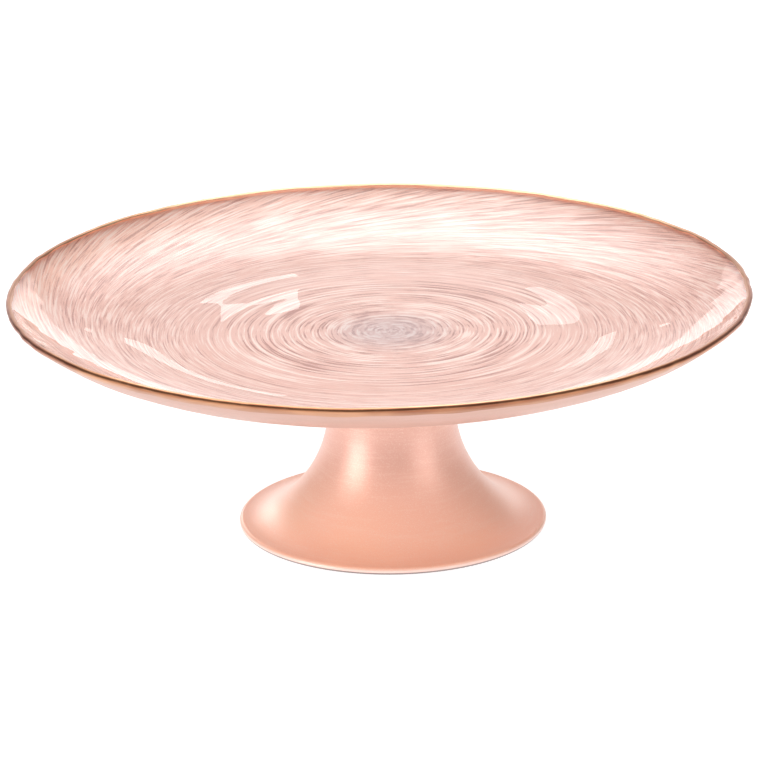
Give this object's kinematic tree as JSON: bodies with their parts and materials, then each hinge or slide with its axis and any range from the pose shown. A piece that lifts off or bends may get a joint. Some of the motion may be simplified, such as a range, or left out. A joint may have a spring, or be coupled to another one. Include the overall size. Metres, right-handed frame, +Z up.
{
  "type": "cake stand",
  "caption": "Footed cake stand: a shallow lacquered glass plate with a gilded rim, bonded to a hollow flared glass foot.",
  "frame": {"origin": "on the table, below the middle of the plate's rim", "axes": "+Z up along the axis of the plate; +X towards the side to which the foot stands off that axis; -Y is the side shown as the front"},
  "size_m": [0.3202, 0.3202, 0.1071],
  "materials": {
    "clear_glass": "clear, polished",
    "pearl_lacquer": "pink pearl lacquer with combed swirls",
    "gilding": "hand-brushed copper gold",
    "clear_adhesive": "clear cured adhesive",
    "foot_glass": "clear, pressed",
    "foot_lacquer": "satin salmon pearl lacquer"
  },
  "bodies": {
    "root": {"glass_plate": "clear_glass", "plate_lacquer": "pearl_lacquer", "gilt_rim": "gilding", "adhesive_bond": "clear_adhesive", "glass_foot": "foot_glass", "foot_lacquer": "foot_lacquer"}
  },
  "joints": []
}
